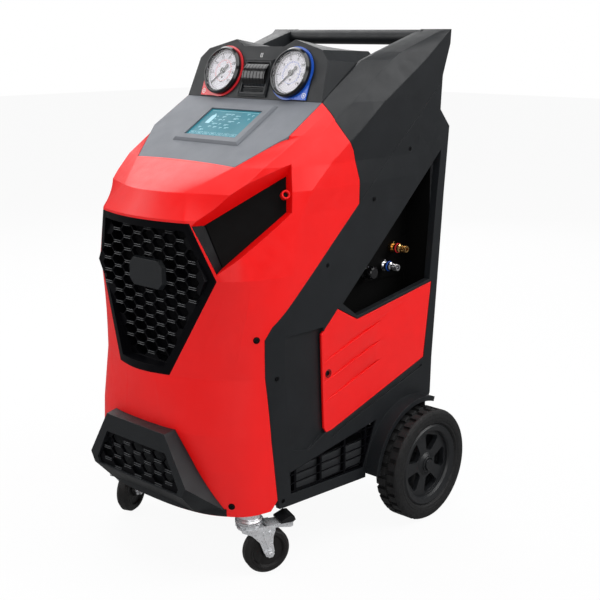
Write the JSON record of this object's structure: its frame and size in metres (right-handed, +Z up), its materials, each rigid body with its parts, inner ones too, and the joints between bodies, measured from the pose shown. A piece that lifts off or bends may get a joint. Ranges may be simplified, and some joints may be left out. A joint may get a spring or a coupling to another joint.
{
  "type": "air conditioning recharge station",
  "caption": "Wheeled service cabinet with gauges, screen, printer, handle bar, hose pockets and charging ports for recovering and recharging vehicle air conditioning.",
  "frame": {"origin": "on the floor below the middle of the bounding box", "axes": "+Z up, -Y towards the front with the screen and mesh, +X towards the side with the ports"},
  "size_m": [0.616, 0.7041, 1.0631],
  "materials": {
    "red_plastic": "satin red moulded",
    "black_plastic": "grained dark grey moulded",
    "mesh_plastic": "black moulded",
    "console_grey": "satin grey",
    "screen_glass": "glossy screen",
    "gauge_black": "gloss black",
    "dial_white": "printed dial",
    "clear_lens": "clear",
    "flag_red": "red",
    "flag_blue": "blue",
    "rubber": "moulded tread",
    "rim_plastic": "satin dark grey",
    "zinc": "zinc plated",
    "steel": "powder coated",
    "brass": "machined brass",
    "chrome": "plated",
    "aluminium": "mill finish",
    "board_green": "circuit board",
    "tank_grey": "painted"
  },
  "bodies": {
    "root": {"front_cover": "red_plastic", "console_panel": "console_grey", "screen_bezel": "console_grey", "touchscreen": "screen_glass", "front_grille": "mesh_plastic", "badge_plate": "black_plastic", "bumper": "black_plastic", "bumper_grille": "mesh_plastic", "slot_back_right": "mesh_plastic", "slot_back_left": "mesh_plastic", "side_wing_right": "black_plastic", "side_wing_left": "black_plastic", "side_frame_right": "black_plastic", "side_frame_left": "black_plastic", "side_panel_right": "red_plastic", "side_panel_left": "red_plastic", "side_louvre_right": "mesh_plastic", "side_louvre_left": "mesh_plastic", "hose_pocket_right": "mesh_plastic", "hose_pocket_left": "mesh_plastic", "service_port_high": "brass", "service_port_low": "chrome", "instrument_housing": "black_plastic", "gauge_case_high": "gauge_black", "gauge_case_low": "gauge_black", "gauge_dial_high": "dial_white", "gauge_dial_low": "dial_white", "gauge_lens_high": "clear_lens", "gauge_lens_low": "clear_lens", "gauge_flag_high": "flag_red", "gauge_flag_low": "flag_blue", "printer_frame": "black_plastic", "handle_bar": "black_plastic", "rear_panel": "steel", "power_inlet": "gauge_black", "rear_axle": "steel", "caster_head_right": "zinc", "caster_head_left": "zinc", "chassis_base": "steel", "load_cell": "aluminium", "refrigerant_tank": "tank_grey", "vacuum_pump": "aluminium", "compressor": "steel", "condenser": "aluminium", "fan_shroud": "mesh_plastic", "control_board": "board_green", "manifold_block": "brass"},
    "wheel_right": {"tyre_right": "rubber", "rim_right": "rim_plastic"},
    "wheel_left": {"tyre_left": "rubber", "rim_left": "rim_plastic"},
    "needle_high": {"gauge_needle_high": "gauge_black"},
    "needle_low": {"gauge_needle_low": "gauge_black"},
    "printer_lid": {"printer_cover": "gauge_black"},
    "rocker": {"power_switch": "gauge_black"},
    "fan": {"fan_rotor": "mesh_plastic"},
    "swivel_right": {"caster_fork_right": "zinc"},
    "roller_right": {"caster_wheel_right": "rubber"},
    "pedal_right": {"caster_brake_right": "zinc", "caster_pad_right": "gauge_black"},
    "swivel_left": {"caster_fork_left": "zinc"},
    "roller_left": {"caster_wheel_left": "rubber"},
    "pedal_left": {"caster_brake_left": "zinc", "caster_pad_left": "gauge_black"}
  },
  "joints": [
    {"name": "wheel_right_spin", "type": "hinge", "parent": "root", "child": "wheel_right", "pos_m": [0.278, 0.229, 0.125], "axis": [1, 0, 0], "continuous": true},
    {"name": "wheel_left_spin", "type": "hinge", "parent": "root", "child": "wheel_left", "pos_m": [-0.278, 0.229, 0.125], "axis": [1, 0, 0], "continuous": true},
    {"name": "caster_right_swivel", "type": "hinge", "parent": "root", "child": "swivel_right", "pos_m": [0.202, -0.231, 0.11], "axis": [0, 0, 1], "continuous": true},
    {"name": "caster_right_roll", "type": "hinge", "parent": "swivel_right", "child": "roller_right", "pos_m": [0.21568, -0.19878, 0.048], "axis": [-0.9205, 0.3907, 0], "continuous": true},
    {"name": "caster_right_brake", "type": "hinge", "parent": "swivel_right", "child": "pedal_right", "pos_m": [0.21841, -0.19234, 0.1], "axis": [-0.9205, 0.3907, 0], "range_deg": [0, 12]},
    {"name": "caster_left_swivel", "type": "hinge", "parent": "root", "child": "swivel_left", "pos_m": [-0.202, -0.231, 0.11], "axis": [0, 0, 1], "continuous": true},
    {"name": "caster_left_roll", "type": "hinge", "parent": "swivel_left", "child": "roller_left", "pos_m": [-0.21568, -0.19878, 0.048], "axis": [-0.9205, -0.3907, 0], "continuous": true},
    {"name": "caster_left_brake", "type": "hinge", "parent": "swivel_left", "child": "pedal_left", "pos_m": [-0.21841, -0.19234, 0.1], "axis": [-0.9205, -0.3907, 0], "range_deg": [0, 12]},
    {"name": "needle_high_turn", "type": "hinge", "parent": "root", "child": "needle_high", "pos_m": [-0.1, -0.00061, 0.97699], "axis": [0, 0.9397, -0.342], "range_deg": [0, 270]},
    {"name": "needle_low_turn", "type": "hinge", "parent": "root", "child": "needle_low", "pos_m": [0.1, -0.00061, 0.97699], "axis": [0, 0.9397, -0.342], "range_deg": [0, 270]},
    {"name": "printer_lid_hinge", "type": "hinge", "parent": "root", "child": "printer_lid", "pos_m": [0, -0.00745, 0.94649], "axis": [1, 0, 0], "range_deg": [0, 70]},
    {"name": "power_rocker", "type": "hinge", "parent": "root", "child": "rocker", "pos_m": [0.01, 0.3063, 0.23], "axis": [0, 0, -1], "range_deg": [0, 18]},
    {"name": "fan_spin", "type": "hinge", "parent": "root", "child": "fan", "pos_m": [0, -0.2017, 0.566], "axis": [0, 1, 0], "continuous": true}
  ]
}
